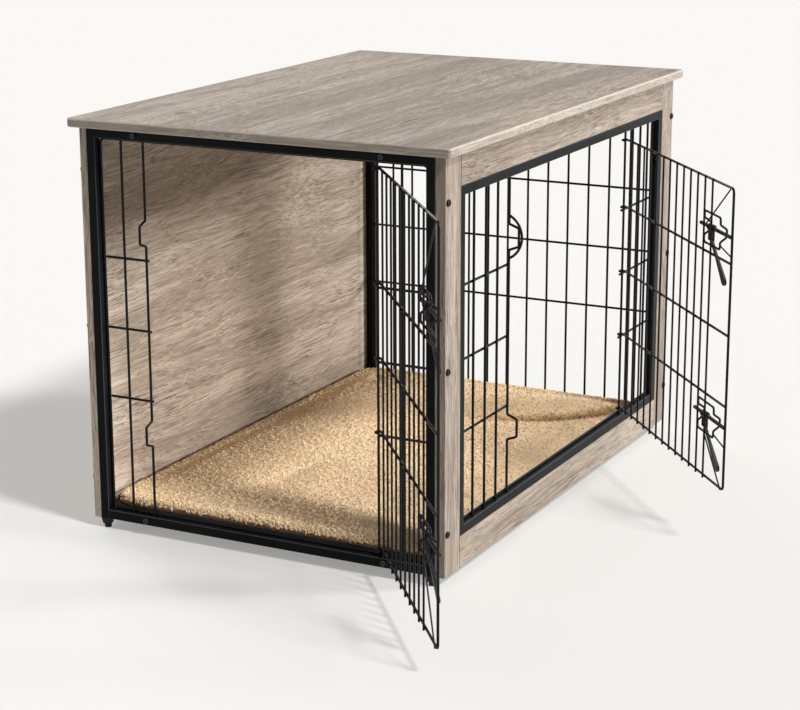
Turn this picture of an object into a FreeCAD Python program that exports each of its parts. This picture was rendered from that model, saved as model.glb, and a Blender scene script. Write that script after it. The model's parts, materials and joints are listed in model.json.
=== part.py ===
import FreeCAD, Part
import math
import os

# Furniture-style pet crate: wooden top, left wall and right-hand surround, steel tube frames
# with wire grilles, two swinging wire doors with slide latches, a floor panel and a pile mat.
# Millimetres. +Z up, front end towards -Y, wooden wall towards -X, side door towards +X. Pieces are
# drawn about the middle of the cabinet, then moved so that the front left glide stands on the origin.

# Cabinet
BODY_WIDTH = 616.0
BODY_DEPTH = 910.0
BODY_HEIGHT = 622.0
FOOT_HEIGHT = 16.0

# Wooden boards
TOP_THICKNESS = 14.0
TOP_OVERHANG = 14.0
TOP_CORNER_RADIUS = 6.0
TOP_EDGE_RADIUS = 3.0
PANEL_THICKNESS = 12.0
POST_THICKNESS = 16.0
POST_WIDTH = 50.0
RAIL_HEIGHT = 49.0
BOARD_EDGE_RADIUS = 0.8

# Square steel tube of the frames and stretchers
TUBE = 15.0
TUBE_WALL = 1.2
TUBE_CORNER_RADIUS = 1.5
STRETCHER_OFFSET = 209.0

# Wire
GRILLE_WIRE_RADIUS = 2.0
DOOR_WIRE_RADIUS = 1.6
GUIDE_WIRE_RADIUS = 1.75
BRACE_WIRE_RADIUS = 1.2
WELD_SINK = 0.4
WIRE_BEND = 3.5
RIM_BEND = 8.0
BAR_TAIL = 3.0

# Clearances
TOUCH_GAP = 0.05
RUNNING_GAP = 0.08
HOOK_GAP = 0.35
FREE_GAP = 0.5
CUT_OVERRUN = 2.0

# Cross wires: one at half height, and one set back this far from the cabinet's low and high ends
CROSS_WIRE_SETBACK = 200.0
HOOK_STEP = 6.0

# Front wall: gaps, rises and drops are from the low and high edges of its frame
FRONT_GRILLE_DEPTH = 9.0
END_GRILLE_PITCHES = 14
FRONT_FIXED_PITCHES = 2
FRONT_DOOR_LOW_GAP = 24.0
FRONT_DOOR_TOP_GAP = 27.0
FRONT_DOOR_BARS = 10
FRONT_DOOR_ANGLE = 128.5
FRONT_LATCH_RISE = 149.0
FRONT_LATCH_DROP = 157.0

# Side wall, in the same way
SIDE_GRILLE_DEPTH = 7.0
SIDE_LATCH_FIXED = 165.0
SIDE_HINGE_FIXED = 140.0
SIDE_FIXED_PITCHES = 4
SIDE_DOOR_LOW_GAP = 25.0
SIDE_DOOR_TOP_GAP = 31.0
SIDE_DOOR_BARS = 13
SIDE_DOOR_ANGLE = 41.0
SIDE_LATCH_RISE = 119.0
SIDE_LATCH_DROP = 108.0

# Doors and latches, measured along the door from the free edge where a setback is named
DOOR_EDGE_GAP = 9.0
DOOR_LAST_BAY = 75.0
DOOR_CORNER_BEND = 7.0
HOOK_ANGLE = 255.0
KEEPER_REACH = 16.0
KEEPER_BASE = 40.0
KEEPER_FLAT = 28.0
GUARD_REACH = 21.0
GUARD_HEIGHT = 66.0
BOLT_RADIUS = 3.0
BOLT_LENGTH = 123.0
BOLT_TIP_SETBACK = 16.0
BOLT_TIP_CHAMFER = 1.0
BOLT_STANDOFF = 0.5
COLLAR_RADIUS = 4.2
COLLAR_LENGTH = 2.0
GUIDE_OUTER_SETBACK = 47.0
GUIDE_WIDTH = 64.0
GUIDE_HEIGHT = 49.0
GUIDE_HUMP_BASE = 27.0
GUIDE_HUMP_TOP = 12.0
GUIDE_BEND = 4.5
GUIDE_STAY_DROP = 13.0
PADDLE_SETBACK = 95.0
PADDLE_SLEEVE_RADIUS = 5.5
PADDLE_SLEEVE_LENGTH = 15.0
PADDLE_NECK_THICKNESS = 5.0
PADDLE_NECK_LENGTH = 20.0
PADDLE_BLADE_THICKNESS = 3.2
PADDLE_BLADE_LENGTH = 78.0
PADDLE_BLADE_WIDTH = 16.0
PADDLE_WAIST_WIDTH = 7.5
PADDLE_WAIST_SHARE = 0.36
PADDLE_LEAN_ANGLE = 32.0
PADDLE_KICK_ANGLE = 7.0

# Fasteners
CASE_BOLT_SETBACK = 66.0
CASE_BOLT_RADIUS = 3.0
CASE_BOLT_HEAD_RADIUS = 5.0
CASE_BOLT_HEAD_HEIGHT = 3.0
HEAD_EDGE_RADIUS = 1.0
SOCKET_RADIUS = 2.0
SOCKET_DEPTH = 1.8
SOCKET_SIDES = 6
INSERT_RADIUS = 4.5
INSERT_LENGTH = 11.0
TUBE_BOLT_HEAD_RADIUS = 4.4
END_NUT_LENGTH = 16.0
SCREW_RADIUS = 2.0
SCREW_HEAD_RADIUS = 3.5
SCREW_HEAD_HEIGHT = 2.2
SCREW_BITE = 10.0
SCREW_ACCESS_RADIUS = 4.2
SCREW_SETBACK = 90.0
DOWEL_RADIUS = 4.0
DOWEL_BITE = 15.0
DOWEL_SPACING = 24.0

# Feet
PLUG_DROP = 10.0
PLUG_INSERT = 14.0
PLUG_TIP = 11.0
GLIDE_RADIUS = 5.5
GLIDE_EDGE_RADIUS = 1.0
GLIDE_STEM_RADIUS = 2.5
GLIDE_STEM_LENGTH = 18.0

# Floor and mat
FLOOR_THICKNESS = 4.0
FLOOR_MARGIN = 0.6
MAT_EDGE_HEIGHT = 18.0
MAT_CROWN = 3.0
MAT_MARGIN = 8.0
MAT_SIDE_DRAW = 4.0
MAT_ROUND = 5.0
MAT_CORNER = 26.0
MAT_CROWN_INSET = 60.0
MAT_LIFT = 0.3

# Places worked out from the sizes above
HALF_WIDTH = BODY_WIDTH / 2
HALF_DEPTH = BODY_DEPTH / 2
BODY_LOW = FOOT_HEIGHT
BODY_HIGH = BODY_LOW + BODY_HEIGHT
PANEL_INNER = PANEL_THICKNESS - HALF_WIDTH
POST_INNER = HALF_WIDTH - POST_THICKNESS
END_CENTRE = (PANEL_INNER + POST_INNER) / 2
END_HALF = (POST_INNER - PANEL_INNER) / 2
SIDE_HALF = HALF_DEPTH - POST_WIDTH
SIDE_LOW = BODY_LOW + RAIL_HEIGHT
SIDE_HIGH = BODY_HIGH - RAIL_HEIGHT
HALF_HIGH = (BODY_LOW + BODY_HIGH) / 2
CROSS_WIRE_HEIGHTS = (BODY_LOW + CROSS_WIRE_SETBACK, HALF_HIGH, BODY_HIGH - CROSS_WIRE_SETBACK)
CASE_BOLT_HEIGHTS = (BODY_LOW + CASE_BOLT_SETBACK, HALF_HIGH, BODY_HIGH - CASE_BOLT_SETBACK)
FRONT_LATCH_HEIGHTS = (BODY_LOW + FRONT_LATCH_RISE, BODY_HIGH - FRONT_LATCH_DROP)
SIDE_LATCH_HEIGHTS = (SIDE_LOW + SIDE_LATCH_RISE, SIDE_HIGH - SIDE_LATCH_DROP)
RIM_INSET = TUBE + GRILLE_WIRE_RADIUS + TOUCH_GAP
GRILLE_TAIL = RIM_INSET - TUBE - TOUCH_GAP
CROSS_LAYER = 2 * GRILLE_WIRE_RADIUS - WELD_SINK
RIM_LAYER = 2 * GRILLE_WIRE_RADIUS + TOUCH_GAP
END_PITCH = 2 * (END_HALF - RIM_INSET) / END_GRILLE_PITCHES
FRONT_HINGE = END_HALF - RIM_INSET - FRONT_FIXED_PITCHES * END_PITCH
SIDE_HINGE = SIDE_HALF - RIM_INSET - SIDE_HINGE_FIXED
SIDE_EDGE = SIDE_LATCH_FIXED + RIM_INSET - SIDE_HALF
HOOK_RADIUS = 2 * GRILLE_WIRE_RADIUS + HOOK_GAP
DOOR_BAR_LAYER = HOOK_RADIUS - GRILLE_WIRE_RADIUS - DOOR_WIRE_RADIUS + WELD_SINK
BOLT_LAYER = HOOK_RADIUS + GRILLE_WIRE_RADIUS + BOLT_STANDOFF + BOLT_RADIUS
GUIDE_LAYER = DOOR_BAR_LAYER + DOOR_WIRE_RADIUS + GUIDE_WIRE_RADIUS + TOUCH_GAP
GUIDE_HUMP_LAYER = BOLT_LAYER + BOLT_RADIUS + GUIDE_WIRE_RADIUS + FREE_GAP
TUBE_BORE = TUBE - 2 * TUBE_WALL
FLOOR_LOW = BODY_LOW + TUBE
MAT_LOW = FLOOR_LOW + FLOOR_THICKNESS + MAT_LIFT

X_AXIS = FreeCAD.Vector(1, 0, 0)
Y_AXIS = FreeCAD.Vector(0, 1, 0)
Z_AXIS = FreeCAD.Vector(0, 0, 1)
ORIGIN = FreeCAD.Vector(0, 0, 0)


# Basic shapes

def vec(x, y, z):
    return FreeCAD.Vector(x, y, z)


def block(low, high):
    size = high - low
    return Part.makeBox(size.x, size.y, size.z, low)


def rod(start, end, radius):
    run = end - start
    return Part.makeCylinder(radius, run.Length, start, run)


def fuse(pieces):
    joined = pieces[0].multiFuse(pieces[1:]) if len(pieces) > 1 else pieces[0]
    return joined.removeSplitter()


def cut(shape, tools):
    return shape.cut(Part.makeCompound(tools)) if tools else shape


def eased_block(low, high, radius):
    solid = block(low, high)
    return solid.makeFillet(radius, solid.Edges)


def bent_wire(points, bend, radius, closed=False):
    """Straight runs and round bends of one wire, as a list of solids that meet face to face."""
    count = len(points)
    corners = range(count) if closed else range(1, count - 1)
    pieces = []
    leaves = {index: points[index] for index in range(count)}
    meets = dict(leaves)
    for index in corners:
        corner = points[index]
        before = (corner - points[index - 1]).normalize()
        after = (points[(index + 1) % count] - corner).normalize()
        turn = before.getAngle(after)
        trim = bend * math.tan(turn / 2)
        axis = before.cross(after).normalize()
        meets[index] = corner - before * trim
        leaves[index] = corner + after * trim
        centre = meets[index] + axis.cross(before) * bend
        disc = Part.Face(Part.Wire(Part.makeCircle(radius, meets[index], before)))
        pieces.append(disc.revolve(centre, axis, math.degrees(turn)))
    for index in range(count if closed else count - 1):
        pieces.append(rod(leaves[index], meets[(index + 1) % count], radius))
    return pieces


# Walls are drawn with x along the wall from its middle, y inwards from its outer face and z up

def on_front(shape):
    return shape.translated(vec(END_CENTRE, -HALF_DEPTH, 0))


def on_rear(shape):
    return shape.rotated(ORIGIN, Z_AXIS, 180).translated(vec(END_CENTRE, HALF_DEPTH, 0))


def on_side(shape):
    return shape.rotated(ORIGIN, Z_AXIS, 90).translated(vec(HALF_WIDTH, 0, 0))


# Wooden boards

def top_board():
    low = vec(-HALF_WIDTH - TOP_OVERHANG, -HALF_DEPTH - TOP_OVERHANG, BODY_HIGH)
    high = vec(HALF_WIDTH + TOP_OVERHANG, HALF_DEPTH + TOP_OVERHANG, BODY_HIGH + TOP_THICKNESS)
    board = block(low, high)
    upright = [edge for edge in board.Edges if edge.BoundBox.ZLength > TOP_THICKNESS / 2]
    board = board.makeFillet(TOP_CORNER_RADIUS, upright)
    around = [edge for edge in board.Edges if edge.BoundBox.ZLength < TOP_THICKNESS / 2]
    board = board.makeFillet(TOP_EDGE_RADIUS, around)
    return cut(board, [rod(place, place + Z_AXIS * SCREW_BITE, SCREW_RADIUS + TOUCH_GAP)
                       for place in top_screw_places()])


def case_bolt_holes(outer, inward, thickness):
    return [rod(place, place + inward * thickness, CASE_BOLT_RADIUS + FREE_GAP)
            for place in case_bolt_places(outer)]


def case_bolt_places(outer):
    reach = HALF_DEPTH - TUBE / 2
    return [vec(outer, side * reach, height) for side in (-1, 1) for height in CASE_BOLT_HEIGHTS]


def left_panel():
    board = eased_block(vec(-HALF_WIDTH, -HALF_DEPTH, BODY_LOW), vec(PANEL_INNER, HALF_DEPTH, BODY_HIGH),
                        BOARD_EDGE_RADIUS)
    return cut(board, case_bolt_holes(-HALF_WIDTH, X_AXIS, PANEL_THICKNESS))


def dowel_places():
    middle = (POST_INNER + HALF_WIDTH) / 2
    rails = (BODY_LOW + RAIL_HEIGHT / 2, BODY_HIGH - RAIL_HEIGHT / 2)
    return [vec(middle, side * SIDE_HALF, rail + step * DOWEL_SPACING / 2)
            for side in (-1, 1) for rail in rails for step in (-1, 1)]


def dowels(radius):
    return [rod(place - Y_AXIS * DOWEL_BITE, place + Y_AXIS * DOWEL_BITE, radius) for place in dowel_places()]


def right_post(side):
    near = min(side * SIDE_HALF, side * HALF_DEPTH)
    far = max(side * SIDE_HALF, side * HALF_DEPTH)
    board = eased_block(vec(POST_INNER, near, BODY_LOW), vec(HALF_WIDTH, far, BODY_HIGH), BOARD_EDGE_RADIUS)
    holes = case_bolt_holes(HALF_WIDTH, -X_AXIS, POST_THICKNESS) + dowels(DOWEL_RADIUS + TOUCH_GAP)
    return cut(board, holes + side_screw_shanks(TOUCH_GAP))


def right_rail(low):
    board = eased_block(vec(POST_INNER, -SIDE_HALF, low), vec(HALF_WIDTH, SIDE_HALF, low + RAIL_HEIGHT),
                        BOARD_EDGE_RADIUS)
    return cut(board, dowels(DOWEL_RADIUS + TOUCH_GAP) + side_screw_shanks(TOUCH_GAP))


# Steel tube

def tube(length, mitre_start=False, mitre_end=False):
    """Square tube along x; y runs across its depth, and z = 0 is the side that a mitre shortens."""
    bar = block(ORIGIN, vec(length, TUBE, TUBE))
    long_edges = [edge for edge in bar.Edges if edge.BoundBox.XLength > length / 2]
    bar = bar.makeFillet(TUBE_CORNER_RADIUS, long_edges)
    bore = block(vec(-CUT_OVERRUN, TUBE_WALL, TUBE_WALL),
                 vec(length + CUT_OVERRUN, TUBE - TUBE_WALL, TUBE - TUBE_WALL))
    bar = bar.cut(bore)
    if mitre_start:
        bar = bar.cut(mitre_wedge())
    if mitre_end:
        wedge = mitre_wedge().mirror(ORIGIN, X_AXIS)
        bar = bar.cut(wedge.translated(vec(length, 0, 0)))
    return bar


def mitre_wedge():
    reach = TUBE + CUT_OVERRUN
    outline = [vec(-CUT_OVERRUN, -CUT_OVERRUN, -CUT_OVERRUN), vec(reach, -CUT_OVERRUN, -CUT_OVERRUN),
               vec(-CUT_OVERRUN, -CUT_OVERRUN, reach)]
    face = Part.Face(Part.makePolygon(outline + outline[:1]))
    return face.extrude(Y_AXIS * (TUBE + 2 * CUT_OVERRUN))


def frame(half, low, high, mitred_foot):
    """Left, right, top and bottom tubes of one wall frame."""
    height = high - low
    left = tube(height, mitred_foot, True).rotated(ORIGIN, Y_AXIS, -90).translated(vec(TUBE - half, 0, low))
    right = tube(height, True, mitred_foot).rotated(ORIGIN, Y_AXIS, 90).translated(vec(half - TUBE, 0, high))
    top = tube(2 * half, True, True).translated(vec(-half, 0, high - TUBE))
    shorter = 0 if mitred_foot else TUBE
    bottom = tube(2 * (half - shorter), mitred_foot, mitred_foot).rotated(ORIGIN, Y_AXIS, 180)
    return left, right, top, bottom.translated(vec(half - shorter, 0, low + TUBE))


def end_frame():
    """The front and rear frames, with holes for the case bolts' inserts and the stretcher bolts."""
    left, right, top, bottom = frame(END_HALF, BODY_LOW, BODY_HIGH, False)
    sockets = [rod(place, place + inward * (TUBE / 2), INSERT_RADIUS + TOUCH_GAP)
               for place, inward in insert_places()]
    shanks = [rod(place, place + Y_AXIS * TUBE, CASE_BOLT_RADIUS + FREE_GAP) for place in tube_bolt_places()]
    return cut(left, sockets), cut(right, sockets), cut(top, shanks), cut(bottom, shanks)


def insert_places():
    return [(vec(side * END_HALF, TUBE / 2, height), X_AXIS * -side)
            for side in (-1, 1) for height in CASE_BOLT_HEIGHTS]


def tube_bolt_places():
    return [vec(side * STRETCHER_OFFSET, 0, height) for height in (BODY_LOW + TUBE / 2, BODY_HIGH - TUBE / 2)
            for side in (-1, 1)]


def screw_holes(place, inward):
    """Shank hole in the tube wall against the wood, and an access hole in the wall behind it."""
    back = place - inward * TUBE
    return [rod(place, place - inward * TUBE_WALL, SCREW_RADIUS + TOUCH_GAP),
            rod(back, back + inward * TUBE_WALL, SCREW_ACCESS_RADIUS)]


def side_frame():
    holes = [hole for place, inward in side_screw_places() for hole in screw_holes(place, inward)]
    return [cut(bar, holes) for bar in frame(SIDE_HALF, SIDE_LOW, SIDE_HIGH, True)]


def stretcher(side, low):
    run = BODY_DEPTH - 2 * TUBE
    bar = tube(run).rotated(ORIGIN, Z_AXIS, 90)
    return bar.translated(vec(END_CENTRE + side * STRETCHER_OFFSET + TUBE / 2, TUBE - HALF_DEPTH, low))


def top_stretchers():
    holes = [hole for place in top_screw_places() for hole in screw_holes(place, Z_AXIS)]
    return [cut(stretcher(side, BODY_HIGH - TUBE), holes) for side in (-1, 1)]


def bottom_stretchers():
    return [stretcher(side, BODY_LOW) for side in (-1, 1)]


# Fasteners

def bolt(place, inward, shank, head_radius):
    """Round-headed bolt with a hexagon socket; place is on the face that its head bears on."""
    head = rod(place - inward * CASE_BOLT_HEAD_HEIGHT, place, head_radius)
    outer_rim = [edge for edge in head.Edges
                 if abs((edge.CenterOfMass - place).dot(inward) + CASE_BOLT_HEAD_HEIGHT) < TOUCH_GAP]
    head = head.makeFillet(HEAD_EDGE_RADIUS, outer_rim)
    across = inward.cross(Z_AXIS)
    corners = []
    for index in range(SOCKET_SIDES + 1):
        angle = 2 * math.pi * index / SOCKET_SIDES
        spoke = across * math.cos(angle) + Z_AXIS * math.sin(angle)
        corners.append(place - inward * CASE_BOLT_HEAD_HEIGHT + spoke * SOCKET_RADIUS)
    socket = Part.Face(Part.makePolygon(corners)).extrude(inward * SOCKET_DEPTH)
    return fuse([head.cut(socket), rod(place, place + inward * shank, CASE_BOLT_RADIUS)])


def insert(place, inward):
    """Threaded sleeve set in one wall of a tube."""
    sleeve = rod(place, place + inward * INSERT_LENGTH, INSERT_RADIUS)
    return sleeve.cut(rod(place, place + inward * INSERT_LENGTH, CASE_BOLT_RADIUS + TOUCH_GAP))


def end_nuts():
    """Threaded plugs in both ends of the four stretchers."""
    half = TUBE_BORE / 2 - TOUCH_GAP
    nuts = []
    for place in tube_bolt_places():
        start = place + Y_AXIS * TUBE
        plug = block(start - vec(half, 0, half), start + vec(half, END_NUT_LENGTH, half))
        nuts.append(plug.cut(rod(start, start + Y_AXIS * END_NUT_LENGTH, CASE_BOLT_RADIUS + TOUCH_GAP)))
    return [on_front(nut) for nut in nuts] + [on_rear(nut) for nut in nuts]


def tube_bolts():
    return [bolt(place, Y_AXIS, TUBE + END_NUT_LENGTH, TUBE_BOLT_HEAD_RADIUS) for place in tube_bolt_places()]


def screw(place, inward, shank):
    """Wood screw inside a tube; place is on the tube's outer face, against the wood."""
    seat = place - inward * (TUBE_WALL + TOUCH_GAP)
    return fuse([rod(seat - inward * SCREW_HEAD_HEIGHT, seat, SCREW_HEAD_RADIUS),
                 rod(seat, place + inward * shank, SCREW_RADIUS)])


def top_screw_places():
    reach = HALF_DEPTH - SCREW_SETBACK
    return [vec(END_CENTRE + side * STRETCHER_OFFSET, step * reach, BODY_HIGH)
            for side in (-1, 1) for step in (-1, 0, 1)]


def side_screw_places():
    """Places on the outer faces of the side frame, drawn on the wall, and the ways into the wood."""
    places = []
    for step in (-1, 1):
        along = step * (SIDE_HALF - SCREW_SETBACK)
        places.append((vec(along, TUBE / 2, SIDE_LOW), -Z_AXIS))
        places.append((vec(along, TUBE / 2, SIDE_HIGH), Z_AXIS))
        for height in (SIDE_LOW + SCREW_SETBACK, SIDE_HIGH - SCREW_SETBACK):
            places.append((vec(step * SIDE_HALF, TUBE / 2, height), X_AXIS * step))
    return places


def side_screw_shanks(gap):
    return [on_side(rod(place, place + inward * SCREW_BITE, SCREW_RADIUS + gap))
            for place, inward in side_screw_places()]


# Feet

def foot_places():
    reach = END_HALF - TUBE / 2
    return [vec(END_CENTRE + side * reach, end * (HALF_DEPTH - TUBE / 2), BODY_LOW)
            for end in (-1, 1) for side in (-1, 1)]


def square_wire(centre, size):
    half = size / 2
    corners = [centre + vec(x * half, y * half, 0) for x, y in ((-1, -1), (1, -1), (1, 1), (-1, 1))]
    return Part.makePolygon(corners + corners[:1])


def foot_plug(place):
    """Tapered plastic plug pushed into the foot of an upright, bored for the glide's stem."""
    half = TUBE_BORE / 2 - TOUCH_GAP
    shank = block(place - vec(half, half, 0), place + vec(half, half, PLUG_INSERT))
    tip = square_wire(place - Z_AXIS * PLUG_DROP, PLUG_TIP)
    taper = Part.makeLoft([square_wire(place, TUBE), tip], True, True)
    bore = rod(place - Z_AXIS * PLUG_DROP, place + Z_AXIS * PLUG_INSERT, GLIDE_STEM_RADIUS + RUNNING_GAP)
    return fuse([shank, taper]).cut(bore)


def glide(place):
    """Round levelling glide with its stem."""
    foot = rod(vec(place.x, place.y, 0), place - Z_AXIS * (PLUG_DROP + TOUCH_GAP), GLIDE_RADIUS)
    foot = foot.makeFillet(GLIDE_EDGE_RADIUS, foot.Edges[:1] + foot.Edges[2:])
    stem_low = place - Z_AXIS * (PLUG_DROP + TOUCH_GAP)
    return fuse([foot, rod(stem_low, stem_low + Z_AXIS * GLIDE_STEM_LENGTH, GLIDE_STEM_RADIUS)])


# Wire grilles

def standing_wire(along, depth, low, high, radius=GRILLE_WIRE_RADIUS):
    return rod(vec(along, depth, low), vec(along, depth, high), radius)


def lying_wire(start, end, depth, height, radius=GRILLE_WIRE_RADIUS):
    return rod(vec(start, depth, height), vec(end, depth, height), radius)


def rim_loop(half, low, high, depth):
    corners = [vec(-half, depth, low), vec(half, depth, low), vec(half, depth, high), vec(-half, depth, high)]
    return bent_wire(corners, RIM_BEND, GRILLE_WIRE_RADIUS, closed=True)


def keeper_wire(along, depth, low, high, latch_heights):
    """Edge wire of the doorway, bumped outwards where each latch bolt passes behind it."""
    points = [vec(along, depth, low)]
    for middle in latch_heights:
        points += [vec(along, depth, middle - KEEPER_BASE / 2),
                   vec(along, depth - KEEPER_REACH, middle - KEEPER_FLAT / 2),
                   vec(along, depth - KEEPER_REACH, middle + KEEPER_FLAT / 2),
                   vec(along, depth, middle + KEEPER_BASE / 2)]
    return bent_wire(points + [vec(along, depth, high)], WIRE_BEND, GRILLE_WIRE_RADIUS)


def guard_arc(along, depth, height):
    """Bow of wire welded over a keeper."""
    rise = GUARD_REACH
    half = GUARD_HEIGHT / 2
    radius = (rise * rise + half * half) / (2 * rise)
    centre = vec(along, depth - rise + radius, height)
    spread = math.asin(half / radius)
    start = centre + vec(0, -radius * math.cos(spread), -half)
    heading = vec(0, -math.sin(spread), math.cos(spread))
    disc = Part.Face(Part.Wire(Part.makeCircle(GRILLE_WIRE_RADIUS, start, heading)))
    return disc.revolve(centre, X_AXIS * -1, math.degrees(2 * spread))


def rim_edges(half, low, high):
    """Centre lines of the rim wire inside a frame: half length, low and high."""
    return half - RIM_INSET, low + RIM_INSET, high - RIM_INSET


def fixed_grille(half, low, high, depth, inner, pitches, rim_side, edge_pieces):
    """Fixed wires between the rim on one side of a wall and the doorway's edge at inner."""
    reach, rim_low, rim_high = rim_edges(half, low, high)
    outer = rim_side * reach
    pieces = list(edge_pieces)
    for index in range(1, pitches):
        along = inner + (outer - inner) * index / pitches
        pieces.append(standing_wire(along, depth, rim_low - GRILLE_TAIL, rim_high + GRILLE_TAIL))
    stop = outer - rim_side * (2 * GRILLE_WIRE_RADIUS + TOUCH_GAP)
    for height in CROSS_WIRE_HEIGHTS:
        pieces.append(lying_wire(inner - rim_side * GRILLE_TAIL, stop, depth + CROSS_LAYER, height))
    return fuse(pieces)


def doorway_grilles(half, low, high, depth, edge, hinge, pitches, latch_heights, guards):
    """Rim, latch-side grille and hinge-side grille of a wall with a doorway."""
    reach, rim_low, rim_high = rim_edges(half, low, high)
    rim = fuse(rim_loop(reach, rim_low, rim_high, depth + RIM_LAYER))
    keeper = keeper_wire(edge, depth, rim_low - GRILLE_TAIL, rim_high + GRILLE_TAIL, latch_heights)
    keeper += [guard_arc(edge, depth, height) for height in guards]
    hinge_wire = [standing_wire(hinge, depth, rim_low - GRILLE_TAIL, rim_high + GRILLE_TAIL)]
    return (rim, fixed_grille(half, low, high, depth, edge, pitches, -1, keeper),
            fixed_grille(half, low, high, depth, hinge, pitches, 1, hinge_wire))


def rear_grille():
    reach, rim_low, rim_high = rim_edges(END_HALF, BODY_LOW, BODY_HIGH)
    depth = FRONT_GRILLE_DEPTH
    pieces = rim_loop(reach, rim_low, rim_high, depth + CROSS_LAYER)
    for index in range(1, END_GRILLE_PITCHES):
        along = index * END_PITCH - reach
        pieces.append(standing_wire(along, depth, rim_low - GRILLE_TAIL, rim_high + GRILLE_TAIL))
    for height in CROSS_WIRE_HEIGHTS:
        pieces.append(lying_wire(-reach, reach, depth + CROSS_LAYER, height))
    return fuse(pieces)


# Doors: reach runs from the hinge wire to the free edge, layer is the way out of the closed door

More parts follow.
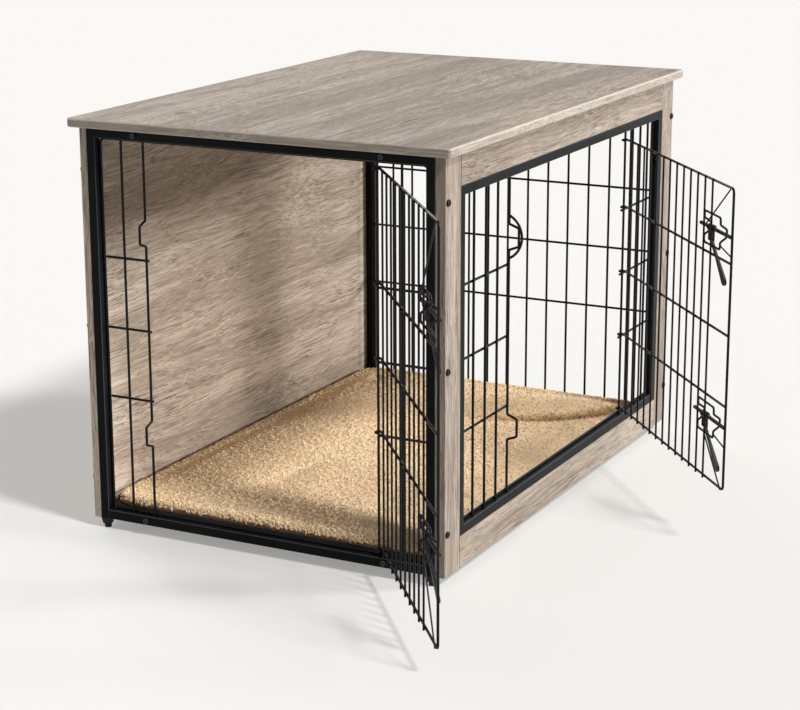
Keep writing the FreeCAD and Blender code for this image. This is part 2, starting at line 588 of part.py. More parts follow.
class Door:
    def __init__(self, on_wall, hinge, edge, depth, low, high, bars, angle, latch_heights):
        self.on_wall = on_wall
        self.hinge = hinge
        self.depth = depth
        self.low = low
        self.high = high
        self.bars = bars
        self.angle = angle
        self.latch_heights = latch_heights
        self.reach = hinge - edge - DOOR_EDGE_GAP
        self.last_bar = self.reach - DOOR_LAST_BAY
        self.pitch = self.last_bar / bars

    def point(self, reach, height, layer):
        return vec(self.hinge - reach, self.depth - layer, height)

    def hang(self, shape):
        """Swings a closed shape open about the hinge wire and sets it on its wall."""
        return self.on_wall(shape.rotated(vec(self.hinge, self.depth, 0), Z_AXIS, self.angle))

    def hook(self, height):
        """Eye of a cross wire, curled round the hinge wire with room to turn."""
        start = self.point(0, height, HOOK_RADIUS)
        disc = Part.Face(Part.Wire(Part.makeCircle(GRILLE_WIRE_RADIUS, start, X_AXIS)))
        return disc.revolve(self.point(0, height, 0), Z_AXIS, HOOK_ANGLE)

    def panel(self):
        """Rim, bars, cross wires, hinge eyes and corner braces, welded into one panel."""
        outer = [(0, self.high), (self.reach, self.high), (self.reach, self.low), (0, self.low)]
        rim = [self.point(reach, height, HOOK_RADIUS) for reach, height in outer]
        pieces = bent_wire(rim, DOOR_CORNER_BEND, GRILLE_WIRE_RADIUS)
        heights = [height + HOOK_STEP for height in CROSS_WIRE_HEIGHTS]
        for height in heights:
            pieces.append(rod(self.point(0, height, HOOK_RADIUS), self.point(self.reach, height, HOOK_RADIUS),
                              GRILLE_WIRE_RADIUS))
        pieces += [self.hook(height) for height in heights + [self.low, self.high]]
        for index in range(1, self.bars + 1):
            foot = self.point(index * self.pitch, self.low - BAR_TAIL, DOOR_BAR_LAYER)
            pieces.append(rod(foot, foot + Z_AXIS * (self.high - self.low + 2 * BAR_TAIL), DOOR_WIRE_RADIUS))
        return self.hang(fuse(pieces + self.braces()))

    def braces(self):
        """Thin wires from the free corners: to the last bar below a latch, to the bar before it behind one."""
        lower, upper = self.latch_heights
        runs = ((self.last_bar, lower - GUIDE_HEIGHT / 2, self.low),
                (self.last_bar - self.pitch, upper, self.high))
        corner = self.reach - DOOR_CORNER_BEND / 2
        return [rod(self.point(reach, near, DOOR_BAR_LAYER), self.point(corner, far, DOOR_BAR_LAYER),
                    BRACE_WIRE_RADIUS) for reach, near, far in runs]

    def guide(self, height):
        """Formed wire loop on the last bars, humped outwards over the latch bolt at both sides."""
        outer = self.reach - GUIDE_OUTER_SETBACK
        inner = outer - GUIDE_WIDTH
        half = GUIDE_HEIGHT / 2
        base = GUIDE_HUMP_BASE / 2
        top = GUIDE_HUMP_TOP / 2
        flat, raised = GUIDE_LAYER, GUIDE_HUMP_LAYER
        side = [(-half, flat), (-base, flat), (-top, raised), (top, raised), (base, flat), (half, flat)]
        points = [self.point(inner, height + rise, layer) for rise, layer in side]
        points += [self.point(outer, height + rise, layer) for rise, layer in reversed(side)]
        pieces = bent_wire(points, GUIDE_BEND, GUIDE_WIRE_RADIUS, closed=True)
        stay_end = self.reach - GRILLE_WIRE_RADIUS - BRACE_WIRE_RADIUS - TOUCH_GAP
        stay = rod(self.point(outer, height - base - GUIDE_BEND, flat),
                   self.point(stay_end, height - base - GUIDE_STAY_DROP, flat), BRACE_WIRE_RADIUS)
        return self.hang(fuse(pieces + [stay]))

    def latch_bolt(self, height):
        """Slide rod with two collars that keep the paddle's sleeve in place."""
        tip = self.reach - BOLT_TIP_SETBACK
        tail = tip - BOLT_LENGTH
        shaft = rod(self.point(tail, height, BOLT_LAYER), self.point(tip, height, BOLT_LAYER), BOLT_RADIUS)
        rims = [edge for edge in shaft.Edges if edge.BoundBox.XLength < BOLT_RADIUS]
        pieces = [shaft.makeChamfer(BOLT_TIP_CHAMFER, rims)]
        middle = self.reach - PADDLE_SETBACK
        offset = PADDLE_SLEEVE_LENGTH / 2 + FREE_GAP
        for start in (middle - offset - COLLAR_LENGTH, middle + offset):
            pieces.append(rod(self.point(start, height, BOLT_LAYER),
                              self.point(start + COLLAR_LENGTH, height, BOLT_LAYER), COLLAR_RADIUS))
        return self.hang(fuse(pieces))

    def paddle(self, height):
        """Lever on the latch bolt: sleeve, thick neck and a flat spoon-ended blade."""
        middle = self.reach - PADDLE_SETBACK
        half_sleeve = PADDLE_SLEEVE_LENGTH / 2
        start = self.point(middle - half_sleeve, height, BOLT_LAYER)
        end = self.point(middle + half_sleeve, height, BOLT_LAYER)
        neck_low = self.point(middle + half_sleeve, height - PADDLE_NECK_LENGTH,
                              BOLT_LAYER + PADDLE_NECK_THICKNESS / 2)
        neck_size = vec(PADDLE_SLEEVE_LENGTH, PADDLE_NECK_THICKNESS, PADDLE_NECK_LENGTH)
        neck = block(neck_low, neck_low + neck_size)
        root = self.point(middle, height - PADDLE_NECK_LENGTH + PADDLE_WAIST_WIDTH / 2,
                          BOLT_LAYER + PADDLE_BLADE_THICKNESS / 2)
        solid = fuse([rod(start, end, PADDLE_SLEEVE_RADIUS), neck, self.blade(root)])
        return self.hang(solid.cut(rod(start, end, BOLT_RADIUS + RUNNING_GAP)))

    def blade(self, root):
        """Neck, waist and round spoon end, leaning to the door's free edge and kicked out of the door."""
        neck = PADDLE_SLEEVE_LENGTH / 2 - PADDLE_BLADE_THICKNESS
        waist = PADDLE_WAIST_WIDTH / 2
        spoon = PADDLE_BLADE_WIDTH / 2
        waist_at = PADDLE_BLADE_LENGTH * PADDLE_WAIST_SHARE
        spoon_at = PADDLE_BLADE_LENGTH - spoon
        right = [vec(neck, 0, 0), vec(waist, 0, -waist_at), vec(spoon, 0, -spoon_at)]
        left = [vec(-corner.x, 0, corner.z) for corner in reversed(right)]
        sides = Part.makePolygon(left + right)
        spoon_end = Part.Arc(right[-1], vec(0, 0, -PADDLE_BLADE_LENGTH), left[0]).toShape()
        plate = Part.Face(Part.Wire(sides.Edges + [spoon_end])).extrude(Y_AXIS * PADDLE_BLADE_THICKNESS)
        leaning = plate.rotated(ORIGIN, Y_AXIS, PADDLE_LEAN_ANGLE)
        return leaning.rotated(ORIGIN, X_AXIS, -PADDLE_KICK_ANGLE).translated(root)


# Floor and mat

def floor_panel():
    low = vec(PANEL_INNER + FLOOR_MARGIN, TUBE + FLOOR_MARGIN - HALF_DEPTH, FLOOR_LOW)
    high = vec(POST_INNER - FLOOR_MARGIN, HALF_DEPTH - TUBE - FLOOR_MARGIN, FLOOR_LOW + FLOOR_THICKNESS)
    return block(low, high)


def mat_outline(inset, height):
    """Closed outline whose four sides draw in between rounded corners."""
    half_x = END_HALF - MAT_MARGIN - inset
    half_y = HALF_DEPTH - TUBE - MAT_MARGIN - inset
    corner = MAT_CORNER
    edges = []
    turns = ((1, -1), (1, 1), (-1, 1), (-1, -1))
    for index, (x, y) in enumerate(turns):
        across = vec(x * half_x, y * half_y, height)
        along_y = across - vec(0, y * corner, 0)
        along_x = across - vec(x * corner, 0, 0)
        start, end = (along_x, along_y) if x * y < 0 else (along_y, along_x)
        shoulder = corner * (1 - math.sqrt(0.5))
        edges.append(Part.Arc(start, across - vec(x * shoulder, y * shoulder, 0), end).toShape())
        next_x, next_y = turns[(index + 1) % len(turns)]
        after = vec(next_x * half_x, next_y * half_y, height)
        if next_x == x:
            goal = after - vec(0, next_y * corner, 0)
            middle = (end + goal) * 0.5 - vec(x * MAT_SIDE_DRAW, 0, 0)
        else:
            goal = after - vec(next_x * corner, 0, 0)
            middle = (end + goal) * 0.5 - vec(0, y * MAT_SIDE_DRAW, 0)
        edges.append(Part.Arc(end, middle, goal).toShape())
    return Part.Wire(edges)


def mat():
    """Pile mat: rounded edge all round and a low crown."""
    top = MAT_LOW + MAT_EDGE_HEIGHT
    sections = [mat_outline(MAT_ROUND, MAT_LOW), mat_outline(0, MAT_LOW + MAT_ROUND),
                mat_outline(0, top - MAT_ROUND), mat_outline(MAT_ROUND, top),
                mat_outline(MAT_CROWN_INSET, top + MAT_CROWN)]
    solid = Part.makeLoft(sections, True, True)
    return solid.translated(vec(END_CENTRE, 0, 0))


def build():
    nodes = {
        "top_board": top_board(),
        "left_panel": left_panel(),
        "right_front_post": right_post(-1),
        "right_rear_post": right_post(1),
        "right_bottom_rail": right_rail(BODY_LOW),
        "right_top_rail": right_rail(BODY_HIGH - RAIL_HEIGHT),
        "rail_dowels": Part.makeCompound(dowels(DOWEL_RADIUS)),
        "floor_panel": floor_panel(),
        "mat": mat(),
    }
    for wall, place, sides in (("front", on_front, ("left", "right")), ("rear", on_rear, ("right", "left"))):
        names = [side + "_upright" for side in sides] + ["top_tube", "bottom_tube"]
        for name, bar in zip(names, end_frame()):
            nodes[wall + "_" + name] = place(bar)
        nodes[wall + "_tube_bolts"] = Part.makeCompound([place(shape) for shape in tube_bolts()])
    for name, bar in zip(("front_bar", "rear_bar", "top_bar", "bottom_bar"), side_frame()):
        nodes["side_" + name] = on_side(bar)
    nodes["top_stretchers"] = Part.makeCompound(top_stretchers())
    nodes["bottom_stretchers"] = Part.makeCompound(bottom_stretchers())
    nodes["stretcher_end_nuts"] = Part.makeCompound(end_nuts())
    inserts = [insert(*place) for place in insert_places()]
    nodes["upright_inserts"] = Part.makeCompound([on_front(shape) for shape in inserts]
                                                 + [on_rear(shape) for shape in inserts])
    nodes["right_post_bolts"] = Part.makeCompound(
        [bolt(place, -X_AXIS, POST_THICKNESS + INSERT_LENGTH, CASE_BOLT_HEAD_RADIUS)
         for place in case_bolt_places(HALF_WIDTH)])
    nodes["left_panel_bolts"] = Part.makeCompound(
        [bolt(place, X_AXIS, PANEL_THICKNESS + INSERT_LENGTH, CASE_BOLT_HEAD_RADIUS)
         for place in case_bolt_places(-HALF_WIDTH)])
    nodes["top_board_screws"] = Part.makeCompound(
        [screw(place, Z_AXIS, SCREW_BITE) for place in top_screw_places()])
    nodes["side_frame_screws"] = Part.makeCompound(
        [on_side(screw(place, inward, SCREW_BITE)) for place, inward in side_screw_places()])
    nodes["foot_plugs"] = Part.makeCompound([foot_plug(place) for place in foot_places()])
    for name, place in zip(("front_left", "front_right", "rear_left", "rear_right"), foot_places()):
        nodes[name + "_glide"] = glide(place)

    front_edge = FRONT_FIXED_PITCHES * END_PITCH + RIM_INSET - END_HALF
    front = doorway_grilles(END_HALF, BODY_LOW, BODY_HIGH, FRONT_GRILLE_DEPTH, front_edge, FRONT_HINGE,
                            FRONT_FIXED_PITCHES, FRONT_LATCH_HEIGHTS, ())
    side = doorway_grilles(SIDE_HALF, SIDE_LOW, SIDE_HIGH, SIDE_GRILLE_DEPTH, SIDE_EDGE, SIDE_HINGE,
                           SIDE_FIXED_PITCHES, SIDE_LATCH_HEIGHTS, SIDE_LATCH_HEIGHTS[1:])
    for name, front_shape, side_shape in zip(("rim_wire", "latch_grille", "hinge_grille"), front, side):
        nodes["front_" + name] = on_front(front_shape)
        nodes["side_" + name] = on_side(side_shape)
    nodes["rear_grille"] = on_rear(rear_grille())

    doors = {
        "front": Door(on_front, FRONT_HINGE, front_edge, FRONT_GRILLE_DEPTH,
                      BODY_LOW + FRONT_DOOR_LOW_GAP, BODY_HIGH - FRONT_DOOR_TOP_GAP,
                      FRONT_DOOR_BARS, FRONT_DOOR_ANGLE, FRONT_LATCH_HEIGHTS),
        "side": Door(on_side, SIDE_HINGE, SIDE_EDGE, SIDE_GRILLE_DEPTH,
                     SIDE_LOW + SIDE_DOOR_LOW_GAP, SIDE_HIGH - SIDE_DOOR_TOP_GAP,
                     SIDE_DOOR_BARS, SIDE_DOOR_ANGLE, SIDE_LATCH_HEIGHTS),
    }
    for wall, door in doors.items():
        nodes[wall + "_door_panel"] = door.panel()
        for level, height in zip(("lower", "upper"), door.latch_heights):
            nodes[wall + "_" + level + "_latch_guide"] = door.guide(height)
            nodes[wall + "_" + level + "_latch_bolt"] = door.latch_bolt(height)
            nodes[wall + "_" + level + "_latch_paddle"] = door.paddle(height)
    return nodes


datum = foot_places()[0]
os.makedirs("parts", exist_ok=True)
for node, shape in build().items():
    placed = shape.translated(vec(-datum.x, -datum.y, 0))
    placed.exportStep("parts/" + node + ".step")
    print(node, len(placed.Solids), "valid" if placed.isValid() else "INVALID", round(placed.Volume))
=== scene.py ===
import json
import math

import bmesh
import bpy
import numpy as np
from mathutils import Matrix, Vector
from mathutils.bvhtree import BVHTree


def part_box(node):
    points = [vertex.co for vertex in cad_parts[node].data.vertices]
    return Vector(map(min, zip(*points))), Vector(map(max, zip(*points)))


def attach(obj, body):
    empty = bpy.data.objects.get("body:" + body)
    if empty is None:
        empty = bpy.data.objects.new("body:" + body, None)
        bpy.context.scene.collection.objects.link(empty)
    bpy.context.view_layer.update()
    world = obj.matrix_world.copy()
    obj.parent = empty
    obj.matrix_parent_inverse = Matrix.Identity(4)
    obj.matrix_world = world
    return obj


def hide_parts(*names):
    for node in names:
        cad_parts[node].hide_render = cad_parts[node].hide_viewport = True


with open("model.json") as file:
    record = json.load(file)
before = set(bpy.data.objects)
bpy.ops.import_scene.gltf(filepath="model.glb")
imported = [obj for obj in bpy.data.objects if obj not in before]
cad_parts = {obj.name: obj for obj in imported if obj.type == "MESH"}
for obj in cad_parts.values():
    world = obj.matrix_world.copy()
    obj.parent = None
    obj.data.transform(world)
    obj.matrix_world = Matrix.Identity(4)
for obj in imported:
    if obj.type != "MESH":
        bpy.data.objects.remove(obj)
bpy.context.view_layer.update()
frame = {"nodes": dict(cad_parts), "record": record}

# Pet crate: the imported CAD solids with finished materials, a detailed pile mat in place of the plain
# one, a pale floor, soft studio light and the photograph's viewpoint. Metres, in the CAD frame.

# Camera, matched to the edges of the crate in the photograph
CAMERA_PLACE = (1.8773, -2.6432, 1.1399)
CAMERA_YAW = math.radians(-27.17)
CAMERA_PITCH = math.radians(15.006)
CAMERA_ROLL = math.radians(-0.157)
CAMERA_LENS = 96.3
SENSOR_WIDTH = 36.0

# Surroundings: a white sky for light, and a backdrop and a glow of the floor that only the eye sees
BACKDROP = (0.935, 0.926, 0.892, 1.0)
SKY_COLOUR = (1.0, 1.0, 1.0, 1.0)
SKY_STRENGTH = 0.24
FLOOR_COLOUR = (0.60, 0.594, 0.573, 1.0)
FLOOR_GLOW = (0.300, 0.2965, 0.2843, 1.0)
FLOOR_HALF = 40.0
FLOOR_DROP = 0.0004

# Lamps: the way that each one shines from, its strength and its spread
LAMPS = {
    "key_lamp": ((0.75, -0.15, 0.85), 2.25, math.radians(9.0)),
    "side_softbox": ((0.80, 0.50, 0.20), 3.1, math.radians(13.0)),
    "back_fill": ((-0.72, 0.50, 0.42), 0.8, math.radians(40.0)),
}

# Pad under the pile: the size of its even mesh, how far it starts inside the solid, and how it swells
PAD_VOXEL = 0.006
PAD_INSET = 0.006
PAD_PRESSURE = 4.0
PAD_FRAMES = 20
PAD_SWELL = 0.0075

# Folds that hold the pad down, each a curve through shares of the mat's width and length: where it starts,
# what it bends towards and where it ends. The sharp one is also sunk, with painted shade, and fades to its
# end
SHARP_FOLD_SHARES = ((0.97, 0.99), (0.90, 0.76), (0.52, 0.74))
SOFT_FOLD_SHARES = ((0.02, 0.05), (0.24, 0.03), (0.36, 0.20))
FOLD_STEPS = 60
FOLD_HALF = 0.007
FOLD_DEPTH = 0.0042
FOLD_SPREAD = 0.018
FOLD_PAINTED_SHADE = 0.97
FOLD_PAINTED_SHADE_SPREAD = 0.036
FOLD_FADE = 6

# Pile: one sheet of tufts over the top and the rounded edge. Round the edge the tufts' full height is kept
# at first, and then it shrinks by the rate for each radian
PILE_STEP = 0.0024
PILE_HEIGHT = 0.0028
PILE_EDGE_RADIUS = 0.008
PILE_TUCK = math.radians(100.0)
PILE_CORNER = 0.026
PILE_SETTLE = 0.045
PILE_THIN_START = 2.0
PILE_THIN_RATE = 1.2
# Painted shade down among the roots: the brightness kept where the tufts have no height, and the attribute
# that carries the pile's tone and painted shade
ROOT_PAINTED_SHADE = 0.27
TONE_AND_SHADE_ATTRIBUTE = "pile_tone_and_painted_shade"
TUFT_CELL = 0.0062
TUFT_LONG = 0.0062
TUFT_WIDE = 0.0034
TUFT_BEND = 26.0
TUFT_PLACE = (0.1, 0.9)
TUFT_TALL = (0.62, 1.0)

# Loose loops of yarn over the pile, in rows over the edge and scattered over the top
LOOP_CELL = 0.0072
LOOP_EDGE_SPACING = 0.0052
LOOP_EDGE_ANGLES = (-1.1, -0.3, 0.35, 0.8, 1.15)
LOOP_EDGE_STRAY = 0.3
LOOP_EDGE_SIZE = 0.9
LOOP_TOP_SIZE = 0.66
LOOP_RUN = (0.0055, 0.0090)
LOOP_RISE = (0.0017, 0.0032)
LOOP_SWAY = 0.0016
LOOP_SINK = 0.0008
LOOP_RADIUS = 0.0019
LOOP_END_RADIUS = 0.6
# Painted shade at the loops' sunk ends, as a share of their brightness
LOOP_END_PAINTED_SHADE = 0.4
LOOP_TONES = (0.75, 1.0)
LOOP_SIDEWAYS = (0.31, 0.95, 0.05)
LOOP_RINGS = 5
LOOP_SIDES = 4

# Tape round the foot of the mat
BINDING_WIDE = 0.0026
BINDING_TALL = 0.0062
BINDING_SPACING = 0.0046
BINDING_SIDES = 8

SEED = 7


class Shader:
    """One material's node tree, with short calls for the nodes that the finishes share."""

    def __init__(self, name):
        self.material = bpy.data.materials.new(name)
        self.material.use_nodes = True
        self.tree = self.material.node_tree
        self.surface = self.tree.nodes["Principled BSDF"]

    def put(self, socket, value):
        if isinstance(value, bpy.types.NodeSocket):
            self.tree.links.new(value, socket)
        else:
            socket.default_value = value

    def node(self, kind, inputs, **settings):
        made = self.tree.nodes.new(kind)
        for key, value in settings.items():
            setattr(made, key, value)
        for key, value in inputs.items():
            self.put(made.inputs[key], value)
        return made

    def finish(self, **values):
        """Sets the surface's inputs; underscores in the names stand for blanks."""
        for key, value in values.items():
            self.put(self.surface.inputs[key.replace("_", " ")], value)
        return self.material

    def place(self):
        return self.node("ShaderNodeTexCoord", {}).outputs["Object"]

    def facing(self):
        return self.node("ShaderNodeTexCoord", {}).outputs["Normal"]

    def axes(self, vector):
        return self.node("ShaderNodeSeparateXYZ", {"Vector": vector}).outputs

    def combine(self, x, y, z):
        return self.node("ShaderNodeCombineXYZ", {"X": x, "Y": y, "Z": z}).outputs[0]

    def stretch(self, vector, scale, offset=(0.0, 0.0, 0.0)):
        inputs = {"Vector": vector, "Scale": scale, "Location": offset}
        return self.node("ShaderNodeMapping", inputs).outputs[0]

    def repeat(self, vector, times):
        """The place for a texture that comes round this many times in a metre along each axis."""
        return self.stretch(vector, (times, times, times))

    def noise(self, vector, detail=3.0, roughness=0.55, distortion=0.0):
        inputs = {"Vector": vector, "Scale": 1.0, "Detail": detail, "Roughness": roughness,
                  "Distortion": distortion}
        return self.node("ShaderNodeTexNoise", inputs).outputs["Fac"]

    def cells(self, vector):
        return self.node("ShaderNodeTexVoronoi", {"Vector": vector, "Scale": 1.0}).outputs["Distance"]

    def calc(self, operation, first, second=0.0):
        return self.node("ShaderNodeMath", {0: first, 1: second}, operation=operation).outputs[0]

    def span(self, value, low, high, to_low=0.0, to_high=1.0):
        inputs = {"Value": value, "From Min": low, "From Max": high, "To Min": to_low, "To Max": to_high}
        return self.node("ShaderNodeMapRange", inputs).outputs[0]

    def choose(self, share, first, second):
        """Mixes two vectors."""
        made = self.node("ShaderNodeMix", {0: share, 4: first, 5: second}, data_type="VECTOR")
        return made.outputs[1]

    def tint(self, share, first, second):
        """Mixes two colours."""
        made = self.node("ShaderNodeMix", {0: share, 6: first, 7: second}, data_type="RGBA")
        return made.outputs[2]

    def ramp(self, value, stops):
        made = self.node("ShaderNodeValToRGB", {"Fac": value})
        points = made.color_ramp.elements
        while len(points) < len(stops):
            points.new(1.0)
        for point, (position, colour) in zip(points, stops):
            point.position = position
            point.color = (*colour, 1.0)
        return made.outputs["Color"]

    def relief(self, height, depth):
        inputs = {"Height": height, "Strength": 1.0, "Distance": depth}
        return self.node("ShaderNodeBump", inputs).outputs[0]


# Finishes. A span holds the two values that a texture or a facing is read between and then what they turn
# into, which is 0 and 1 where it isn't given

# Oak: how often a layer of grain repeats in a metre along the board and across it, then the layer's detail,
# roughness and distortion. The first two layers push the others sideways
OAK_DRIFT = (1.7, 5.5, 2.0, 0.55, 0.0)
OAK_WOBBLE = (9.0, 30.0, 3.0, 0.55, 0.0)
OAK_GRAIN = {
    "wash": (0.9, 12.0, 2.0, 0.5, 0.0),
    "streak": (2.4, 70.0, 5.0, 0.62, 0.0),
    "fibre": (12.0, 420.0, 4.0, 0.65, 0.0),
    "feather": (15.0, 520.0, 3.0, 0.55, 0.3),
    "patch": (3.0, 20.0, 2.0, 0.55, 0.0),
    "pore": (9.0, 760.0, 2.0, 0.55, 0.0),
}
PALE, MIDDLE, DARK, DEEPEST = range(4)
OAK_STREAKS = (0.34, 0.66)
OAK_TINTS = (
    ("wash", (0.48, 0.58, 0.0, 0.75), DARK),
    ("wash", (0.45, 0.35, 0.0, 0.60), PALE),
    ("fibre", (0.51, 0.60, 0.0, 0.75), DARK),
    ("fibre", (0.45, 0.37, 0.0, 0.60), PALE),
    ("feather", (0.53, 0.61, 0.0, 0.85), DEEPEST),
    ("pore", (0.57, 0.65, 0.0, 0.65), DEEPEST),
)
OAK_GATHERED = (0.42, 0.60, 0.25, 1.0)
OAK_PORE_DENT = (0.56, 0.66, 0.0, 0.8)
OAK_FEATHER_DENT = (0.54, 0.64, 0.0, 0.7)
OAK_GLOSS = (0.3, 0.7, 0.52, 0.70)
OAK_SPECULAR = 0.3
OAK_RELIEF = 0.00022
OAK_WOBBLE_PUSH = 0.008
OAK_END_FACING = 0.7
AXIS_ORDER = {"X": ("X", "Y", "Z"), "Y": ("Y", "X", "Z"), "Z": ("Z", "X", "Y")}

# Knots: place and size of each one, and in multiples of its size how far off it bends the grain, by how
# much, and where its dark core starts to fade and ends
KNOTS = ((0.096, 0.095, 0.006),)
KNOT_SHORTEN = 0.5
KNOT_REACH = 6.0
KNOT_BEND = 4.0
KNOT_CORE = (0.6, 1.3)
KNOT_CORE_SHARE = 0.85

# Dark lines where rails meet posts, the top board's paler sides, and a painted highlight along its edges
BUTT_SHADE = 0.0016
BUTT_SHARE = 0.9
BUTT_COLOUR = (0.05, 0.04, 0.032, 1.0)
RIM_PALER = (0.9, 0.2, 0.0, 0.22)
RIM_COLOUR = (0.60, 0.52, 0.44, 1.0)
ARRIS_STARTS = (0.10, 0.35)
ARRIS_ENDS = (0.995, 0.90)
ARRIS_HIGHLIGHT_SHARE = 0.35
ARRIS_HIGHLIGHT_COLOUR = (0.80, 0.74, 0.67, 1.0)

# Boards: grain axis, axis on the ends, place in the pattern, tones from pale to deepest, and sway
TOP_TONES = ((0.475, 0.403, 0.326), (0.346, 0.288, 0.230), (0.225, 0.185, 0.147), (0.11, 0.087, 0.066))
FRAME_TONES = ((0.44, 0.361, 0.293), (0.339, 0.273, 0.218), (0.234, 0.184, 0.143), (0.11, 0.083, 0.062))
# Painted light: the panel's tones are set paler than the frame's to make up for the shade inside the crate
PANEL_TONES_WITH_PAINTED_LIGHT = ((0.66, 0.548, 0.440), (0.518, 0.417, 0.326), (0.344, 0.267, 0.203), (0.146, 0.110, 0.080))
TOP_SWAY = 0.12
PANEL_SWAY = 0.08
FRAME_SWAY = 0.06
BOARDS = {
    "top_board": ("Y", "X", (3.1, 0.4, 7.7), TOP_TONES, TOP_SWAY),
    "left_panel": ("Y", "Z", (1.7, 5.2, 0.3), PANEL_TONES_WITH_PAINTED_LIGHT, PANEL_SWAY),
    "right_front_post": ("Z", "X", (9.4, 2.8, 4.1), FRAME_TONES, FRAME_SWAY),
    "right_rear_post": ("Z", "X", (5.5, 8.3, 1.9), FRAME_TONES, FRAME_SWAY),
    "right_bottom_rail": ("Y", "X", (0.6, 3.9, 6.2), FRAME_TONES, FRAME_SWAY),
    "right_top_rail": ("Y", "X", (7.2, 6.6, 2.4), FRAME_TONES, FRAME_SWAY),
}

# Coats by material slot: material's name, colour, roughness, bumps in a metre and specular level
COATS = {
    "black_steel": ("tube_powder_coat", (0.0046, 0.0051, 0.0058), 0.36, 900.0, 0.05),
    "black_wire": ("wire_powder_coat", (0.0036, 0.0039, 0.0044), 0.26, 1300.0, 0.14),
    "latch_steel": ("latch_coat", (0.0044, 0.0047, 0.0052), 0.28, 1500.0, 0.16),
    "bolt_black": ("bolt_oxide", (0.0050, 0.0050, 0.0052), 0.36, 2200.0, 0.16),
    # The bolts in the tubes: the same oxide, painted lighter as a highlight
    "tube_bolts": ("tube_bolt_oxide_painted_highlight", (0.011, 0.011, 0.0115), 0.30, 2200.0, 0.4),
    "floor_black": ("floor_panel_grain", (0.010, 0.0098, 0.0095), 0.62, 700.0, 0.2),
    "foot_plastic": ("foot_moulding", (0.0060, 0.0060, 0.0063), 0.52, 1100.0, 0.2),
}
COAT_SLOW_REPEAT = 9.0
COAT_LIGHTER = 2.1
COAT_CLOUDS = (0.35, 0.7)
COAT_SPECKS = (0.56, 0.72, 0.0, 0.5)
COAT_GLOSS = (0.3, 0.7)
COAT_SMOOTHER = 0.06
COAT_ROUGHER = 0.08
COAT_RELIEF = 0.00006
# Painted highlight on the rounded edges of square tube: the facings that it spans, and its colour
PAINTED_EDGE_HIGHLIGHT = (0.985, 0.86, 0.0, 0.8)
EDGE_HIGHLIGHT_COLOUR = (0.085, 0.092, 0.100, 1.0)

# Zinc plating and dowel wood
ZINC_COLOUR = (0.62, 0.62, 0.60)
ZINC_DARKER = 0.62
ZINC_BLOOM_REPEAT = 420.0
ZINC_BLOOM = (0.1, 0.8)
ZINC_SCRATCHES = (90.0, 90.0, 2400.0)
ZINC_GLOSS = (0.3, 0.7, 0.28, 0.46)
ZINC_RELIEF = 0.00003
BEECH_GRAIN = (300.0, 26.0, 300.0)
BEECH_TONES = ((0.3, (0.50, 0.33, 0.17)), (0.7, (0.74, 0.56, 0.34)))
BEECH_ROUGHNESS = 0.6
BEECH_RELIEF = 0.0001

# Pile and tape of the mat
# From painted shade down in the fold and among the roots to the pile's own colour at the tips
PILE_TONES_AND_PAINTED_SHADE = (
    (0.0, (0.22, 0.12, 0.052)),
    (0.15, (0.52, 0.32, 0.155)),
    (0.38, (0.92, 0.66, 0.405)),
    (1.0, (0.98, 0.76, 0.495)),
)
PILE_OPENED = (0.06, 0.32)
PILE_PATCH_REPEAT = 14.0
PILE_FADED = (0.4, 0.7, 0.0, 0.35)
PILE_FADED_COLOUR = (0.98, 0.77, 0.515, 1.0)
PILE_THREAD_REPEAT = 900.0
PILE_LINED = (0.52, 0.66, 0.0, 0.34)
PILE_LINED_COLOUR = (0.70, 0.47, 0.255, 1.0)
PILE_ROUGHNESS = 0.92
PILE_SPECULAR = 0.15
PILE_SHEEN = 0.25
PILE_SHEEN_ROUGHNESS = 0.5
PILE_SHEEN_COLOUR = (0.95, 0.80, 0.58, 1.0)
PILE_RELIEF = 0.0005
TWILL_REPEAT = 5200.0
TAPE_FUZZ_REPEAT = 700.0
TAPE_THREAD = (0.3, 1.7)
TAPE_TONES = ((0.0, (0.24, 0.10, 0.055)), (1.0, (0.58, 0.30, 0.19)))
TAPE_ROUGHNESS = 0.85
TAPE_SPECULAR = 0.2
TAPE_RELIEF = 0.0003


def grain_noise(shader, board, offset, layer):
    """One layer of grain: noise drawn out along the board."""
    along, across, detail, roughness, distortion = layer
    return shader.noise(shader.stretch(board, (along, across, across), offset), detail, roughness, distortion)


